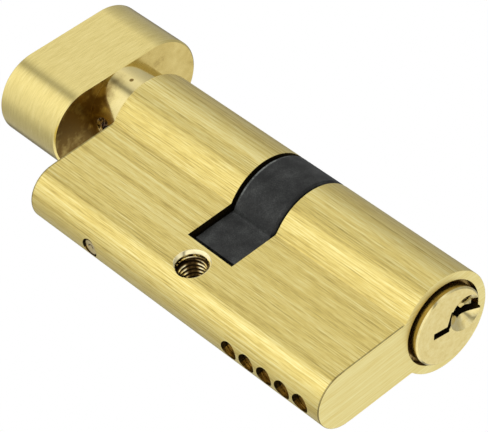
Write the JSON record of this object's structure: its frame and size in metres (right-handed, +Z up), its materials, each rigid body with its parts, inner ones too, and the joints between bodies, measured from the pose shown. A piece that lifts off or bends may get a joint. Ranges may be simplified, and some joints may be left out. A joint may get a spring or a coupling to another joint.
{
  "type": "thumb turn euro cylinder",
  "caption": "Euro profile lock cylinder with a keyed side, an oval thumb turn on the other side, and a turning cam in the middle.",
  "frame": {"origin": "centre of the fixing screw hole, at the middle of the leg's width", "axes": "+X along the barrel to the key end, +Y along the fixing screw, +Z up from the leg to the barrel"},
  "size_m": [0.0865, 0.017, 0.039],
  "materials": {
    "brushed_brass": "brushed along the barrel, satin",
    "turned_brass": "turned, satin",
    "cast_brass": "satin, linished round the grip",
    "plug_brass": "drawn, dull",
    "pin_brass": "turned",
    "pin_steel": "nickel plated",
    "spring_steel": "drawn wire",
    "clip_steel": "phosphated",
    "black_steel": "blackened sintered steel, semi-matt"
  },
  "bodies": {
    "housing": {"body": "brushed_brass", "chamber_plug_1": "plug_brass", "chamber_plug_2": "plug_brass", "chamber_plug_3": "plug_brass", "chamber_plug_4": "plug_brass", "chamber_plug_5": "plug_brass", "pin_spring_1": "spring_steel", "pin_spring_2": "spring_steel", "pin_spring_3": "spring_steel", "pin_spring_4": "spring_steel", "pin_spring_5": "spring_steel", "retaining_pin": "pin_steel", "retaining_spring": "spring_steel", "retaining_plug": "plug_brass"},
    "key_plug": {"key_plug": "turned_brass", "key_plug_clip": "clip_steel"},
    "thumb_turn": {"turn_spindle": "turned_brass", "turn_spindle_clip": "clip_steel", "thumb_turn": "cast_brass", "turn_grub_screw": "black_steel"},
    "cam": {"cam": "black_steel"},
    "clutch": {"clutch": "pin_steel", "clutch_spring": "spring_steel"},
    "key_pin_1": {"key_pin_1": "pin_brass"},
    "driver_pin_1": {"driver_pin_1": "pin_steel"},
    "key_pin_2": {"key_pin_2": "pin_brass"},
    "driver_pin_2": {"driver_pin_2": "pin_steel"},
    "key_pin_3": {"key_pin_3": "pin_brass"},
    "driver_pin_3": {"driver_pin_3": "pin_steel"},
    "key_pin_4": {"key_pin_4": "pin_brass"},
    "driver_pin_4": {"driver_pin_4": "pin_steel"},
    "key_pin_5": {"key_pin_5": "pin_brass"},
    "driver_pin_5": {"driver_pin_5": "pin_steel"}
  },
  "joints": [
    {"name": "key_plug_turn", "type": "hinge", "parent": "housing", "child": "key_plug", "pos_m": [0, 0, 0.0192], "axis": [1, 0, 0], "continuous": true},
    {"name": "thumb_turn_turn", "type": "hinge", "parent": "housing", "child": "thumb_turn", "pos_m": [0, 0, 0.0192], "axis": [1, 0, 0], "continuous": true},
    {"name": "cam_turn", "type": "hinge", "parent": "housing", "child": "cam", "pos_m": [0, 0, 0.0192], "axis": [1, 0, 0], "continuous": true},
    {"name": "clutch_slide", "type": "slide", "parent": "cam", "child": "clutch", "axis": [-1, 0, 0], "range_m": [0, 0.0018], "stiffness_N_per_m": 200, "deforming": ["clutch_spring"]},
    {"name": "key_pin_1_drop", "type": "slide", "parent": "key_plug", "child": "key_pin_1", "axis": [0, 0, 1], "range_m": [0, 0.0015]},
    {"name": "key_pin_2_drop", "type": "slide", "parent": "key_plug", "child": "key_pin_2", "axis": [0, 0, 1], "range_m": [0, 0.0015]},
    {"name": "key_pin_3_drop", "type": "slide", "parent": "key_plug", "child": "key_pin_3", "axis": [0, 0, 1], "range_m": [0, 0.0015]},
    {"name": "key_pin_4_drop", "type": "slide", "parent": "key_plug", "child": "key_pin_4", "axis": [0, 0, 1], "range_m": [0, 0.0015]},
    {"name": "key_pin_5_drop", "type": "slide", "parent": "key_plug", "child": "key_pin_5", "axis": [0, 0, 1], "range_m": [0, 0.0015]},
    {"name": "driver_pin_1_lift", "type": "slide", "parent": "housing", "child": "driver_pin_1", "axis": [0, 0, -1], "range_m": [0, 0.0015], "stiffness_N_per_m": 150, "deforming": ["pin_spring_1"]},
    {"name": "driver_pin_2_lift", "type": "slide", "parent": "housing", "child": "driver_pin_2", "axis": [0, 0, -1], "range_m": [0, 0.0015], "stiffness_N_per_m": 150, "deforming": ["pin_spring_2"]},
    {"name": "driver_pin_3_lift", "type": "slide", "parent": "housing", "child": "driver_pin_3", "axis": [0, 0, -1], "range_m": [0, 0.0015], "stiffness_N_per_m": 150, "deforming": ["pin_spring_3"]},
    {"name": "driver_pin_4_lift", "type": "slide", "parent": "housing", "child": "driver_pin_4", "axis": [0, 0, -1], "range_m": [0, 0.0015], "stiffness_N_per_m": 150, "deforming": ["pin_spring_4"]},
    {"name": "driver_pin_5_lift", "type": "slide", "parent": "housing", "child": "driver_pin_5", "axis": [0, 0, -1], "range_m": [0, 0.0015], "stiffness_N_per_m": 150, "deforming": ["pin_spring_5"]}
  ],
  "couplings": [
    {"joint": "cam_turn", "follows": "thumb_turn_turn", "ratio": 1}
  ]
}
